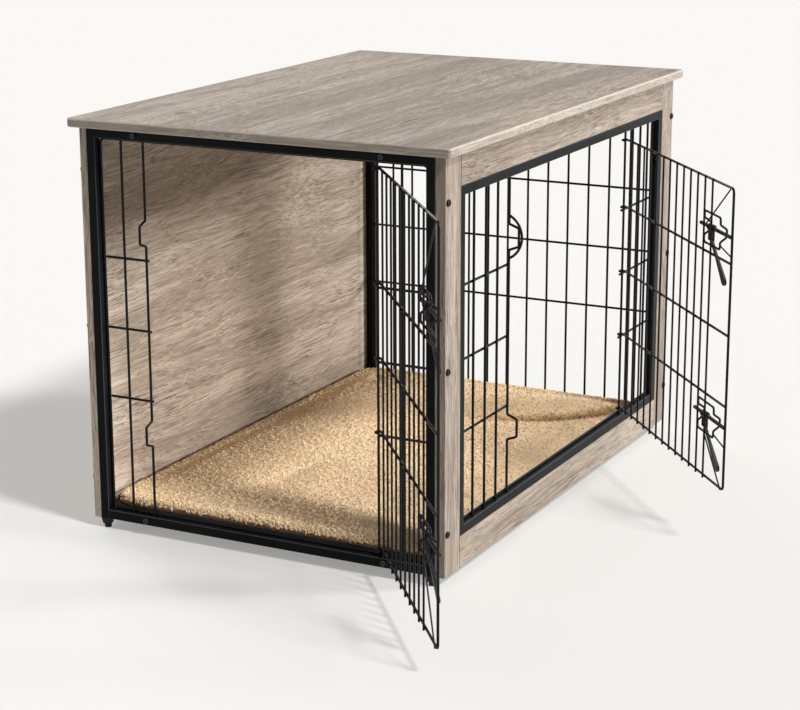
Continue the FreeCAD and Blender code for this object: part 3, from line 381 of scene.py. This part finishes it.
def oak(name, grain, ends, offset, tones, sway, knots=(), butts=(), pale_rim_and_highlight=False):
    """Washed grey oak. The grain follows one axis, and another on faces that look along the first."""
    shader = Shader(name)
    spot = shader.axes(shader.place())
    normal = shader.axes(shader.facing())
    on_end = shader.calc("GREATER_THAN", shader.calc("ABSOLUTE", normal[grain]), OAK_END_FACING)
    lengthwise = shader.combine(*[spot[axis] for axis in AXIS_ORDER[grain]])
    crosswise = shader.combine(*[spot[axis] for axis in AXIS_ORDER[ends]])
    board = shader.choose(on_end, lengthwise, crosswise)

    # Slow waves and small wobbles push the grain sideways, and knots bend it round themselves
    drift = shader.calc("MULTIPLY", grain_noise(shader, board, offset, OAK_DRIFT), sway)
    wobble = shader.calc("MULTIPLY", grain_noise(shader, board, offset, OAK_WOBBLE), OAK_WOBBLE_PUSH)
    push = shader.calc("ADD", drift, wobble)
    along, across, deep = shader.axes(board)
    across = shader.calc("ADD", across, push)
    cores = []
    for x, y, size in knots:
        gap_along = shader.calc("MULTIPLY", shader.calc("SUBTRACT", spot["Y"], y), KNOT_SHORTEN)
        gap_across = shader.calc("SUBTRACT", spot["X"], x)
        squares = [shader.calc("POWER", part, 2.0) for part in (gap_along, gap_across)]
        gap = shader.calc("SQRT", shader.calc("ADD", *squares))
        near = shader.span(gap, 0.0, KNOT_REACH * size, 1.0, 0.0)
        bend = shader.calc("MULTIPLY", shader.calc("POWER", near, 2.0), KNOT_BEND * size)
        across = shader.calc("ADD", across, bend)
        cores.append(shader.span(gap, KNOT_CORE[0] * size, KNOT_CORE[1] * size, KNOT_CORE_SHARE, 0.0))
    bent = shader.combine(along, across, shader.calc("ADD", deep, push))

    # Colour: streaks first, then each tint over the ones before it; feathers gather in patches
    layers = {kind: grain_noise(shader, bent, offset, layer) for kind, layer in OAK_GRAIN.items()}
    stops = ((0.0, tones[DARK]), (0.5, tones[MIDDLE]), (1.0, tones[PALE]))
    colour = shader.ramp(shader.span(layers["streak"], *OAK_STREAKS), stops)
    gathered = shader.span(layers["patch"], *OAK_GATHERED)
    for kind, span, tone in OAK_TINTS:
        share = shader.span(layers[kind], *span)
        if kind == "feather":
            share = shader.calc("MULTIPLY", share, gathered)
        colour = shader.tint(share, colour, (*tones[tone], 1.0))
    for core in cores:
        colour = shader.tint(core, colour, (*tones[DEEPEST], 1.0))
    for place in butts:
        seam = shader.calc("ABSOLUTE", shader.calc("SUBTRACT", spot[grain], place))
        share = shader.span(seam, BUTT_SHADE / 2, BUTT_SHADE, BUTT_SHARE, 0.0)
        colour = shader.tint(share, colour, BUTT_COLOUR)
    if pale_rim_and_highlight:
        level = shader.calc("ABSOLUTE", normal["Z"])
        colour = shader.tint(shader.span(level, *RIM_PALER), colour, RIM_COLOUR)
        # Painted highlight along the top board's rounded edges
        arris_highlight = shader.calc("MULTIPLY", shader.span(level, *ARRIS_STARTS), shader.span(level, *ARRIS_ENDS))
        colour = shader.tint(shader.calc("MULTIPLY", arris_highlight, ARRIS_HIGHLIGHT_SHARE), colour, ARRIS_HIGHLIGHT_COLOUR)

    dents = shader.calc("ADD", shader.span(layers["pore"], *OAK_PORE_DENT),
                        shader.span(layers["feather"], *OAK_FEATHER_DENT))
    height = shader.calc("SUBTRACT", layers["fibre"], dents)
    return shader.finish(Base_Color=colour, Roughness=shader.span(layers["fibre"], *OAK_GLOSS),
                         Specular_IOR_Level=OAK_SPECULAR, Normal=shader.relief(height, OAK_RELIEF))


def coat(name, colour, roughness, bumps, specular, edge_highlight=False):
    """Powder coat or moulded black: a fine skin of bumps with slow changes of shade and gloss.

    On square tube the rounded edges, which look along none of the axes, can be painted paler as a highlight.
    """
    shader = Shader(name)
    place = shader.place()
    skin = shader.noise(shader.repeat(place, bumps), detail=2.0)
    slow = shader.noise(shader.repeat(place, COAT_SLOW_REPEAT))
    plain = (*colour, 1.0)
    lighter = (*[COAT_LIGHTER * value for value in colour], 1.0)
    shade = shader.tint(shader.span(slow, *COAT_CLOUDS), plain, lighter)
    shade = shader.tint(shader.span(skin, *COAT_SPECKS), shade, lighter)
    # Painted highlight along the rounded edges
    if edge_highlight:
        x, y, z = [shader.calc("ABSOLUTE", way) for way in shader.axes(shader.facing())]
        square = shader.calc("MAXIMUM", shader.calc("MAXIMUM", x, y), z)
        shade = shader.tint(shader.span(square, *PAINTED_EDGE_HIGHLIGHT), shade, EDGE_HIGHLIGHT_COLOUR)
    gloss = shader.span(slow, *COAT_GLOSS, roughness - COAT_SMOOTHER, roughness + COAT_ROUGHER)
    return shader.finish(Base_Color=shade, Roughness=gloss, Specular_IOR_Level=specular,
                         Normal=shader.relief(skin, COAT_RELIEF))


def plated(name):
    """Bare zinc plating with a crystal bloom and fine scratches."""
    shader = Shader(name)
    place = shader.place()
    bloom = shader.cells(shader.repeat(place, ZINC_BLOOM_REPEAT))
    scratch = shader.noise(shader.stretch(place, ZINC_SCRATCHES))
    darker = [ZINC_DARKER * value for value in ZINC_COLOUR]
    shade = shader.tint(shader.span(bloom, *ZINC_BLOOM), (*ZINC_COLOUR, 1.0), (*darker, 1.0))
    return shader.finish(Base_Color=shade, Metallic=1.0, Roughness=shader.span(scratch, *ZINC_GLOSS),
                         Normal=shader.relief(scratch, ZINC_RELIEF))


def beech(name):
    """Plain turned dowel wood with pores along its length."""
    shader = Shader(name)
    grain = shader.noise(shader.stretch(shader.place(), BEECH_GRAIN), detail=4.0)
    return shader.finish(Base_Color=shader.ramp(grain, BEECH_TONES), Roughness=BEECH_ROUGHNESS,
                         Normal=shader.relief(grain, BEECH_RELIEF))


def pile(name):
    """Curled tan pile: painted shade down among the roots and in the fold, pale tips, threads along the
    curls.

    Faded patches and threads show only where the pile stands open, not down in its folds.
    """
    shader = Shader(name)
    place = shader.place()
    tone = shader.node("ShaderNodeAttribute", {}, attribute_name=TONE_AND_SHADE_ATTRIBUTE).outputs["Fac"]
    thread = shader.noise(shader.repeat(place, PILE_THREAD_REPEAT), distortion=1.0)
    patch = shader.noise(shader.repeat(place, PILE_PATCH_REPEAT), detail=4.0)
    opened = shader.span(tone, *PILE_OPENED)
    colour = shader.ramp(tone, PILE_TONES_AND_PAINTED_SHADE)
    faded = shader.calc("MULTIPLY", shader.span(patch, *PILE_FADED), opened)
    colour = shader.tint(faded, colour, PILE_FADED_COLOUR)
    lined = shader.calc("MULTIPLY", shader.span(thread, *PILE_LINED), opened)
    colour = shader.tint(lined, colour, PILE_LINED_COLOUR)
    return shader.finish(Base_Color=colour, Roughness=PILE_ROUGHNESS, Specular_IOR_Level=PILE_SPECULAR,
                         Sheen_Weight=PILE_SHEEN, Sheen_Roughness=PILE_SHEEN_ROUGHNESS,
                         Sheen_Tint=PILE_SHEEN_COLOUR, Normal=shader.relief(thread, PILE_RELIEF))


def binding(name):
    """Woven edge tape: diagonal twill in reddish brown."""
    shader = Shader(name)
    place = shader.place()
    x, y, z = shader.axes(place)
    slant = shader.calc("ADD", shader.calc("ADD", x, y), z)
    twill = shader.calc("SINE", shader.calc("MULTIPLY", slant, TWILL_REPEAT))
    fuzz = shader.noise(shader.repeat(place, TAPE_FUZZ_REPEAT))
    thread = shader.calc("ADD", shader.span(twill, -1.0, 1.0), fuzz)
    colour = shader.ramp(shader.span(thread, *TAPE_THREAD), TAPE_TONES)
    return shader.finish(Base_Color=colour, Roughness=TAPE_ROUGHNESS, Specular_IOR_Level=TAPE_SPECULAR,
                         Normal=shader.relief(thread, TAPE_RELIEF))


def board_finish(node):
    """Oak for one board, with its own grain and marks."""
    low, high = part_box(node)
    butts = (low.y, high.y) if node.endswith("_rail") else ()
    knots = KNOTS if node == "top_board" else ()
    return oak(node + "_oak", *BOARDS[node], knots=knots, butts=butts, pale_rim_and_highlight=node == "top_board")


def dress_cad():
    """Gives each board its own grain, and every other CAD node the finish of its material slot.

    The mat keeps its plain material, because a detailed piece stands in for it.
    """
    finishes = {kind: coat(*values, edge_highlight=kind == "black_steel") for kind, values in COATS.items()}
    finishes["dowel_wood"] = beech("dowel_wood_finish")
    finishes["zinc_steel"] = plated("zinc_plate")
    slots = {part["node"]: part["material_slot"] for part in frame["record"]["subparts"]}
    for node, solid in frame["nodes"].items():
        kind = "tube_bolts" if node.endswith("_tube_bolts") else slots[node]
        finish = board_finish(node) if node in BOARDS else finishes.get(kind)
        if finish:
            solid.data.materials.clear()
            solid.data.materials.append(finish)


# Pile mat

def round_outline(point_x, point_y, half_x, half_y, corner):
    """Gap from a rounded rectangle, positive outside, and the outward way, for arrays of points."""
    over_x = np.abs(point_x) - (half_x - corner)
    over_y = np.abs(point_y) - (half_y - corner)
    out_x = np.maximum(over_x, 0.0)
    out_y = np.maximum(over_y, 0.0)
    length = np.hypot(out_x, out_y)
    gap = length + np.minimum(np.maximum(over_x, over_y), 0.0) - corner
    safe = np.where(length > 0.0, length, 1.0)
    way_x = np.where(length > 0.0, out_x / safe, np.where(over_x > over_y, 1.0, 0.0)) * np.sign(point_x)
    way_y = np.where(length > 0.0, out_y / safe, np.where(over_x > over_y, 0.0, 1.0)) * np.sign(point_y)
    return gap, way_x, way_y


def tuft_field(x, y, random):
    """Height of overlapping bent tufts, from 0 at the roots to 1 at the tips, at arrays of points."""
    count_x = int((x.max() - x.min()) / TUFT_CELL) + 3
    count_y = int((y.max() - y.min()) / TUFT_CELL) + 3
    start_x = x.min() - TUFT_CELL
    start_y = y.min() - TUFT_CELL
    jitter_x = random.uniform(*TUFT_PLACE, (count_x, count_y))
    jitter_y = random.uniform(*TUFT_PLACE, (count_x, count_y))
    turn = random.uniform(0.0, math.pi, (count_x, count_y))
    tall = random.uniform(*TUFT_TALL, (count_x, count_y))
    bend = random.uniform(-1.0, 1.0, (count_x, count_y)) * TUFT_BEND
    cell_x = ((x - start_x) / TUFT_CELL).astype(int)
    cell_y = ((y - start_y) / TUFT_CELL).astype(int)
    best = np.zeros_like(x)
    for step_x in (-1, 0, 1):
        for step_y in (-1, 0, 1):
            i = np.clip(cell_x + step_x, 0, count_x - 1)
            j = np.clip(cell_y + step_y, 0, count_y - 1)
            gap_x = x - start_x - (i + jitter_x[i, j]) * TUFT_CELL
            gap_y = y - start_y - (j + jitter_y[i, j]) * TUFT_CELL
            along = gap_x * np.cos(turn[i, j]) + gap_y * np.sin(turn[i, j])
            across = gap_y * np.cos(turn[i, j]) - gap_x * np.sin(turn[i, j]) + bend[i, j] * along * along
            left = 1.0 - (along / TUFT_LONG) ** 2 - (across / TUFT_WIDE) ** 2
            best = np.maximum(best, tall[i, j] * np.sqrt(np.maximum(left, 0.0)))
    return best


def fold_gap(x, y, low, high, shares):
    """Distance from arrays of points to a curved fold, and how far along it the nearest place is."""
    start, bend, end = [np.array((low.x + across * (high.x - low.x), low.y + along * (high.y - low.y)))
                        for across, along in shares]
    nearest = np.full(np.shape(x), np.inf)
    passed = np.zeros(np.shape(x))
    for step in np.linspace(0.0, 1.0, FOLD_STEPS + 1):
        place = start * (1.0 - step) ** 2 + bend * 2.0 * step * (1.0 - step) + end * step ** 2
        gap = np.hypot(x - place[0], y - place[1])
        passed = np.where(gap < nearest, step, passed)
        nearest = np.minimum(nearest, gap)
    return nearest, passed


def crease_share(x, y, low, high, spread):
    """How far points are down in the sharp fold: 1 along its start, and 0 at its end and on the flat."""
    gap, passed = fold_gap(x, y, low, high, SHARP_FOLD_SHARES)
    return np.exp(-(gap / spread) ** 2) * (1.0 - passed ** FOLD_FADE)


def fold_painted_shade(x, y, low, high):
    """Painted shade: the share of its brightness that the pile keeps at arrays of points, less down in the
    fold.
    """
    return 1.0 - FOLD_PAINTED_SHADE * crease_share(x, y, low, high, FOLD_PAINTED_SHADE_SPREAD)


def with_modifiers(piece):
    """The piece's mesh with its modifiers, as a new mesh."""
    graph = bpy.context.evaluated_depsgraph_get()
    return bpy.data.meshes.new_from_object(piece.evaluated_get(graph))


def coordinates(mesh):
    flat = np.empty(3 * len(mesh.vertices))
    mesh.vertices.foreach_get("co", flat)
    return flat.reshape(-1, 3)


def swollen_pad(low, high):
    """The mat's plain solid, drawn in and then swollen as cloth; its foot and folds are held down."""
    pad = bpy.data.objects.new("mat_pad", frame["nodes"]["mat"].data.copy())
    bpy.context.scene.collection.objects.link(pad)
    size = high - low
    draw_in = Matrix.Diagonal((1 - 2 * PAD_INSET / size.x, 1 - 2 * PAD_INSET / size.y,
                               1 - PAD_SWELL / size.z))
    anchor = Vector(((low.x + high.x) / 2, (low.y + high.y) / 2, low.z))
    for vertex in pad.data.vertices:
        vertex.co = anchor + draw_in @ (vertex.co - anchor)
    even = pad.modifiers.new("even_out", "REMESH")
    even.mode = "VOXEL"
    even.voxel_size = PAD_VOXEL
    pad.data = with_modifiers(pad)
    pad.modifiers.clear()
    rest = coordinates(pad.data)
    held = rest[:, 2] < low.z + PAD_VOXEL
    for shares in (SHARP_FOLD_SHARES, SOFT_FOLD_SHARES):
        held |= fold_gap(rest[:, 0], rest[:, 1], low, high, shares)[0] < FOLD_HALF
    group = pad.vertex_groups.new(name="held")
    group.add(np.flatnonzero(held).tolist(), 1.0, "REPLACE")
    cloth = pad.modifiers.new("swell", "CLOTH")
    cloth.settings.use_pressure = True
    cloth.settings.uniform_pressure_force = PAD_PRESSURE
    cloth.settings.effector_weights.gravity = 0.0
    cloth.settings.vertex_group_mass = group.name
    for step in range(1, PAD_FRAMES + 1):
        bpy.context.scene.frame_set(step)
    mesh = with_modifiers(pad)
    bpy.data.objects.remove(pad)
    moved = coordinates(mesh) - rest
    far = np.linalg.norm(moved, axis=1, keepdims=True)
    settled = rest + moved * np.minimum(1.0, PAD_SWELL / np.maximum(far, PAD_SWELL))
    return BVHTree.FromPolygons(settled.tolist(), [polygon.vertices[:] for polygon in mesh.polygons])


def pad_rise(pad, x, y, high):
    """How far the swollen pad stands above its plain top, at arrays of points."""
    floor = high.z - PAD_SWELL
    rise = np.zeros_like(x)
    for spot in np.ndindex(x.shape):
        hit = pad.ray_cast(Vector((x[spot], y[spot], high.z + PAD_SWELL)), Vector((0.0, 0.0, -1.0)))[0]
        if hit:
            rise[spot] = max(0.0, hit.z - floor)
    return rise


def mat_surface(low, high, random):
    """Points of a grid laid over the mat's top and sides, their tones and painted shade, and which points are
    used.
    """
    half_x = (high.x - low.x) / 2 - PILE_EDGE_RADIUS - PILE_HEIGHT / 2
    half_y = (high.y - low.y) / 2 - PILE_EDGE_RADIUS - PILE_HEIGHT / 2
    reach = PILE_EDGE_RADIUS * PILE_TUCK
    span_x = np.arange(-half_x - reach, half_x + reach + PILE_STEP, PILE_STEP)
    span_y = np.arange(-half_y - reach, half_y + reach + PILE_STEP, PILE_STEP)
    flat_x, flat_y = np.meshgrid(span_x, span_y, indexing="ij")
    gap, way_x, way_y = round_outline(flat_x, flat_y, half_x, half_y, PILE_CORNER)
    over = np.clip(gap, 0.0, reach)
    angle = over / PILE_EDGE_RADIUS
    tufts = tuft_field(flat_x, flat_y, random)
    rooted = np.clip(PILE_THIN_START - PILE_THIN_RATE * angle, 0.0, 1.0)
    lift = PILE_HEIGHT * tufts * rooted
    swell = PILE_EDGE_RADIUS + lift
    out = np.where(gap > 0.0, swell * np.sin(angle) - over, 0.0) - np.maximum(gap - reach, 0.0)
    middle = (low + high) / 2
    inside = np.clip(-gap / PILE_SETTLE, 0.0, 1.0)
    place_x = middle.x + flat_x
    place_y = middle.y + flat_y
    rise = pad_rise(swollen_pad(low, high), place_x, place_y, high)
    rise -= FOLD_DEPTH * crease_share(place_x, place_y, low, high, FOLD_SPREAD)
    base = high.z - PAD_SWELL - PILE_HEIGHT / 2 - PILE_EDGE_RADIUS
    tall = base + rise * inside * inside * (3.0 - 2.0 * inside) + swell * np.cos(angle)
    points = np.stack([place_x + out * way_x, place_y + out * way_y, np.maximum(tall, low.z)], axis=-1)
    # Painted shade: the pile darker where its tufts are low or thin round the edge, and down in the sharp
    # fold
    tone = (ROOT_PAINTED_SHADE + (1.0 - ROOT_PAINTED_SHADE) * tufts * rooted) * fold_painted_shade(place_x, place_y, low, high)
    return points, tone, gap <= reach


def set_tone_and_shade(mesh, tone):
    """Stores a brightness with each point of a mesh, for the pile's material: its tone and painted shade."""
    stored = mesh.attributes.new(TONE_AND_SHADE_ATTRIBUTE, "FLOAT", "POINT")
    stored.data.foreach_set("value", tone.astype(np.float32).ravel())


def pile_mesh(low, points, tone, kept):
    """Closed mesh of the pile: one sheet over the top and sides, closed flat underneath."""
    index = -np.ones(kept.shape, int)
    index[kept] = np.arange(kept.sum())
    around = [index[:-1, :-1], index[1:, :-1], index[1:, 1:], index[:-1, 1:]]
    corners = np.stack(around, axis=-1).reshape(-1, 4)
    faces = corners[(corners >= 0).all(axis=1)]
    mesh = bpy.data.meshes.new("mat_pile")
    mesh.from_pydata(points[kept].tolist(), [], faces.tolist())
    set_tone_and_shade(mesh, tone[kept])
    shape = bmesh.new()
    shape.from_mesh(mesh)
    bmesh.ops.delete(shape, geom=[vert for vert in shape.verts if not vert.link_faces], context="VERTS")
    rim = [edge for edge in shape.edges if edge.is_boundary]
    for edge in rim:
        for vert in edge.verts:
            vert.co.z = low.z
    bmesh.ops.holes_fill(shape, edges=rim, sides=0)
    bmesh.ops.recalc_face_normals(shape, faces=shape.faces)
    for face in shape.faces:
        face.smooth = True
    shape.to_mesh(mesh)
    shape.free()
    return mesh


def outline_points(half_x, half_y, corner, spacing):
    """Points and outward ways round a rounded rectangle, evenly spaced: a side and a corner at a time."""
    ring = []
    for quarter in range(4):
        side, run = (half_x, half_y) if quarter % 2 == 0 else (half_y, half_x)
        spin = Matrix.Rotation(quarter * math.pi / 2, 2)
        straight = 2 * (run - corner)
        steps = max(2, int(straight / spacing))
        for step in range(steps):
            place = Vector((side, straight * step / steps - run + corner))
            ring.append((spin @ place, spin @ Vector((1.0, 0.0))))
        bends = max(3, int(corner * math.pi / 2 / spacing))
        for step in range(bends):
            angle = math.pi / 2 * step / bends
            way = Vector((math.cos(angle), math.sin(angle)))
            place = Vector((side - corner, run - corner)) + way * corner
            ring.append((spin @ place, spin @ way))
    return ring


def unit(vectors):
    return vectors / np.linalg.norm(vectors, axis=-1, keepdims=True)


def edge_roots(low, high, random):
    """Places and outward ways for loops in rows over the mat's rounded edge, a third of the pile up."""
    half_x = (high.x - low.x) / 2 - PILE_EDGE_RADIUS
    half_y = (high.y - low.y) / 2 - PILE_EDGE_RADIUS
    middle = (low + high) / 2
    base = high.z - PAD_SWELL - PILE_HEIGHT / 2 - PILE_EDGE_RADIUS
    radius = PILE_EDGE_RADIUS + PILE_HEIGHT / 3
    roots = []
    ups = []
    for place, way in outline_points(half_x, half_y, PILE_CORNER, LOOP_EDGE_SPACING):
        for row in LOOP_EDGE_ANGLES:
            angle = row + random.uniform(-LOOP_EDGE_STRAY, LOOP_EDGE_STRAY)
            slide = random.uniform(-0.5, 0.5) * LOOP_EDGE_SPACING
            out = math.sin(angle) if angle > 0 else angle
            roots.append((middle.x + place.x + way.x * out * radius - way.y * slide,
                          middle.y + place.y + way.y * out * radius + way.x * slide,
                          base + radius * math.cos(max(angle, 0.0))))
            ups.append((way.x * max(out, 0.0), way.y * max(out, 0.0), math.cos(max(angle, 0.0))))
    return np.array(roots), np.array(ups)


def top_roots(points, kept, random):
    """Places for loops scattered over the flat of the mat, and their upward ways."""
    step = round(LOOP_CELL / PILE_STEP)
    rows = np.arange(step, kept.shape[0] - step, step)
    columns = np.arange(step, kept.shape[1] - step, step)
    across, along = np.meshgrid(rows, columns, indexing="ij")
    across = across + random.integers(-step // 2, step // 2 + 1, across.shape)
    along = along + random.integers(-step // 2, step // 2 + 1, along.shape)
    roots = points[across, along][kept[across, along]]
    return roots, np.tile((0.0, 0.0, 1.0), (len(roots), 1))


def loop_mesh(name, roots, ups, size, tone, random):
    """Small arches of yarn with both ends sunk in the pile; each end is closed."""
    count = len(roots)
    ups = unit(ups)
    sideways = unit(np.cross(ups, LOOP_SIDEWAYS))
    ahead = np.cross(sideways, ups)
    turn = random.uniform(0.0, 2 * math.pi, (count, 1))
    run = ahead * np.cos(turn) + sideways * np.sin(turn)
    sway = np.cross(ups, run)
    share = np.linspace(0.0, 1.0, LOOP_RINGS)[None, :, None]
    arch = np.sin(math.pi * share)
    length = size * random.uniform(*LOOP_RUN, (count, 1, 1))
    rise = size * random.uniform(*LOOP_RISE, (count, 1, 1))
    bow = size * random.uniform(-LOOP_SWAY, LOOP_SWAY, (count, 1, 1))
    centre = (roots[:, None] + run[:, None] * length * (share - 0.5)
              + ups[:, None] * (rise * arch - LOOP_SINK)
              + sway[:, None] * bow * np.sin(2 * math.pi * share))
    heading = unit(np.gradient(centre, axis=1))
    first = unit(np.cross(heading, sway[:, None]))
    second = np.cross(heading, first)
    spin = (2 * math.pi * np.arange(LOOP_SIDES) / LOOP_SIDES)[None, None, :, None]
    radius = (size * LOOP_RADIUS * (LOOP_END_RADIUS + (1.0 - LOOP_END_RADIUS) * arch))[:, :, None]
    section = first[:, :, None] * np.cos(spin) + second[:, :, None] * np.sin(spin)
    points = centre[:, :, None] + radius * section
    corner = np.arange(count * LOOP_RINGS * LOOP_SIDES).reshape(count, LOOP_RINGS, LOOP_SIDES)
    beside = np.roll(corner, -1, axis=2)
    walls = np.stack([corner[:, :-1], beside[:, :-1], beside[:, 1:], corner[:, 1:]], axis=-1).reshape(-1, 4)
    faces = walls.tolist() + corner[:, 0, ::-1].tolist() + corner[:, -1].tolist()
    mesh = bpy.data.meshes.new(name)
    mesh.from_pydata(points.reshape(-1, 3).tolist(), [], faces)
    # Painted shade: each loop darker towards its sunk ends and in the fold; its own tone differs at random
    end_painted_shade = LOOP_END_PAINTED_SHADE + (1.0 - LOOP_END_PAINTED_SHADE) * arch
    shade = end_painted_shade * random.uniform(*LOOP_TONES, (count, 1, 1)) * tone[:, None, None]
    set_tone_and_shade(mesh, np.broadcast_to(shade, (count, LOOP_RINGS, LOOP_SIDES)))
    mesh.shade_smooth()
    return mesh


def binding_mesh(low, high):
    """Flat tape sewn round the foot of the mat, rounded in section."""
    half_x = (high.x - low.x) / 2 - BINDING_WIDE
    half_y = (high.y - low.y) / 2 - BINDING_WIDE
    middle = (low + high) / 2
    ring = outline_points(half_x, half_y, PILE_CORNER, BINDING_SPACING)
    points = []
    for place, way in ring:
        for side in range(BINDING_SIDES):
            spin = 2 * math.pi * side / BINDING_SIDES
            out = BINDING_WIDE * math.cos(spin)
            points.append((middle.x + place.x + way.x * out, middle.y + place.y + way.y * out,
                           low.z + BINDING_TALL * (1.0 + math.sin(spin)) / 2))
    faces = []
    for step in range(len(ring)):
        here = step * BINDING_SIDES
        after = (step + 1) % len(ring) * BINDING_SIDES
        for side in range(BINDING_SIDES):
            beside = (side + 1) % BINDING_SIDES
            faces.append((here + side, after + side, after + beside, here + beside))
    mesh = bpy.data.meshes.new("mat_binding")
    mesh.from_pydata(points, [], faces)
    mesh.shade_smooth()
    return mesh


def add_piece(mesh, material, body):
    piece = bpy.data.objects.new(mesh.name, mesh)
    bpy.context.scene.collection.objects.link(piece)
    piece.data.materials.append(material)
    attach(piece, body)
    return piece


def make_mat():
    """The mat in detail: pile over a swollen pad, loops of yarn and the tape round its foot."""
    random = np.random.default_rng(SEED)
    low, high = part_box("mat")
    finish = pile("mat_pile_fabric")
    points, tone, kept = mat_surface(low, high, random)
    body = add_piece(pile_mesh(low, points, tone, kept), finish, "mat")
    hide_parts("mat")
    edge, edge_ups = edge_roots(low, high, random)
    top, top_ups = top_roots(points, kept, random)
    in_front = top[:, 1] < (low.y + high.y) / 2
    for name, roots, ups, size in (("mat_edge_loops", edge, edge_ups, LOOP_EDGE_SIZE),
                                   ("mat_front_loops", top[in_front], top_ups[in_front], LOOP_TOP_SIZE),
                                   ("mat_rear_loops", top[~in_front], top_ups[~in_front], LOOP_TOP_SIZE)):
        # Painted shade of the sharp fold, carried into the loops' tones
        painted_fold_shade = fold_painted_shade(roots[:, 0], roots[:, 1], low, high)
        add_piece(loop_mesh(name, roots, ups, size, painted_fold_shade, random), finish, "mat")
    add_piece(binding_mesh(low, high), binding("mat_binding_tape"), "mat")


# Camera, light and floor

def make_camera():
    data = bpy.data.cameras.new("camera")
    data.lens = CAMERA_LENS
    data.sensor_width = SENSOR_WIDTH
    camera = bpy.data.objects.new("camera", data)
    ahead = Vector((math.sin(CAMERA_YAW), math.cos(CAMERA_YAW), 0.0))
    level = Vector((math.cos(CAMERA_YAW), -math.sin(CAMERA_YAW), 0.0))
    forward = ahead * math.cos(CAMERA_PITCH) - Vector((0.0, 0.0, math.sin(CAMERA_PITCH)))
    upright = level.cross(forward)
    right = level * math.cos(CAMERA_ROLL) + upright * math.sin(CAMERA_ROLL)
    up = upright * math.cos(CAMERA_ROLL) - level * math.sin(CAMERA_ROLL)
    turn = Matrix((right, up, -forward)).transposed()
    camera.matrix_world = Matrix.Translation(CAMERA_PLACE) @ turn.to_4x4()
    bpy.context.scene.collection.objects.link(camera)
    bpy.context.scene.camera = camera


def make_lamps():
    for name, (shines_from, strength, spread) in LAMPS.items():
        data = bpy.data.lights.new(name, "SUN")
        data.energy = strength
        data.angle = spread
        lamp = bpy.data.objects.new(name, data)
        lamp.rotation_euler = Vector(shines_from).to_track_quat("Z", "Y").to_euler()
        bpy.context.scene.collection.objects.link(lamp)


def seen_share(tree):
    """One for what the eye sees, straight or by gloss or glass, and zero for what lights the object."""
    path = tree.nodes.new("ShaderNodeLightPath")
    seen = path.outputs["Is Camera Ray"]
    for name in ("Is Glossy Ray", "Is Transmission Ray"):
        either = tree.nodes.new("ShaderNodeMath")
        either.operation = "MAXIMUM"
        tree.links.new(seen, either.inputs[0])
        tree.links.new(path.outputs[name], either.inputs[1])
        seen = either.outputs[0]
    return seen


def make_world():
    """Plain soft light from all round, behind a pale backdrop."""
    world = bpy.data.worlds.new("studio")
    world.use_nodes = True
    tree = world.node_tree
    tree.nodes.clear()
    light = tree.nodes.new("ShaderNodeBackground")
    light.inputs["Color"].default_value = SKY_COLOUR
    light.inputs["Strength"].default_value = SKY_STRENGTH
    backdrop = tree.nodes.new("ShaderNodeBackground")
    backdrop.inputs["Color"].default_value = BACKDROP
    mix = tree.nodes.new("ShaderNodeMixShader")
    tree.links.new(seen_share(tree), mix.inputs[0])
    tree.links.new(light.outputs[0], mix.inputs[1])
    tree.links.new(backdrop.outputs[0], mix.inputs[2])
    output = tree.nodes.new("ShaderNodeOutputWorld")
    tree.links.new(mix.outputs[0], output.inputs["Surface"])
    bpy.context.scene.world = world


def make_floor():
    """Pale paper. Part of what the eye sees of it is even, so that shadows on it stay soft."""
    mesh = bpy.data.meshes.new("studio_floor")
    half = FLOOR_HALF
    corners = ((-half, -half), (half, -half), (half, half), (-half, half))
    mesh.from_pydata([(x, y, -FLOOR_DROP) for x, y in corners], [], [(0, 1, 2, 3)])
    floor = bpy.data.objects.new("studio_floor", mesh)
    bpy.context.scene.collection.objects.link(floor)
    shader = Shader("studio_paper")
    seen = seen_share(shader.tree)
    paper = shader.finish(Base_Color=FLOOR_COLOUR, Roughness=1.0, Specular_IOR_Level=0.0,
                          Emission_Color=FLOOR_GLOW, Emission_Strength=seen)
    paper.cycles.emission_sampling = "NONE"
    floor.data.materials.append(paper)


make_camera()
make_lamps()
make_world()
make_floor()
dress_cad()
make_mat()
bpy.context.scene.view_settings.view_transform = "Standard"
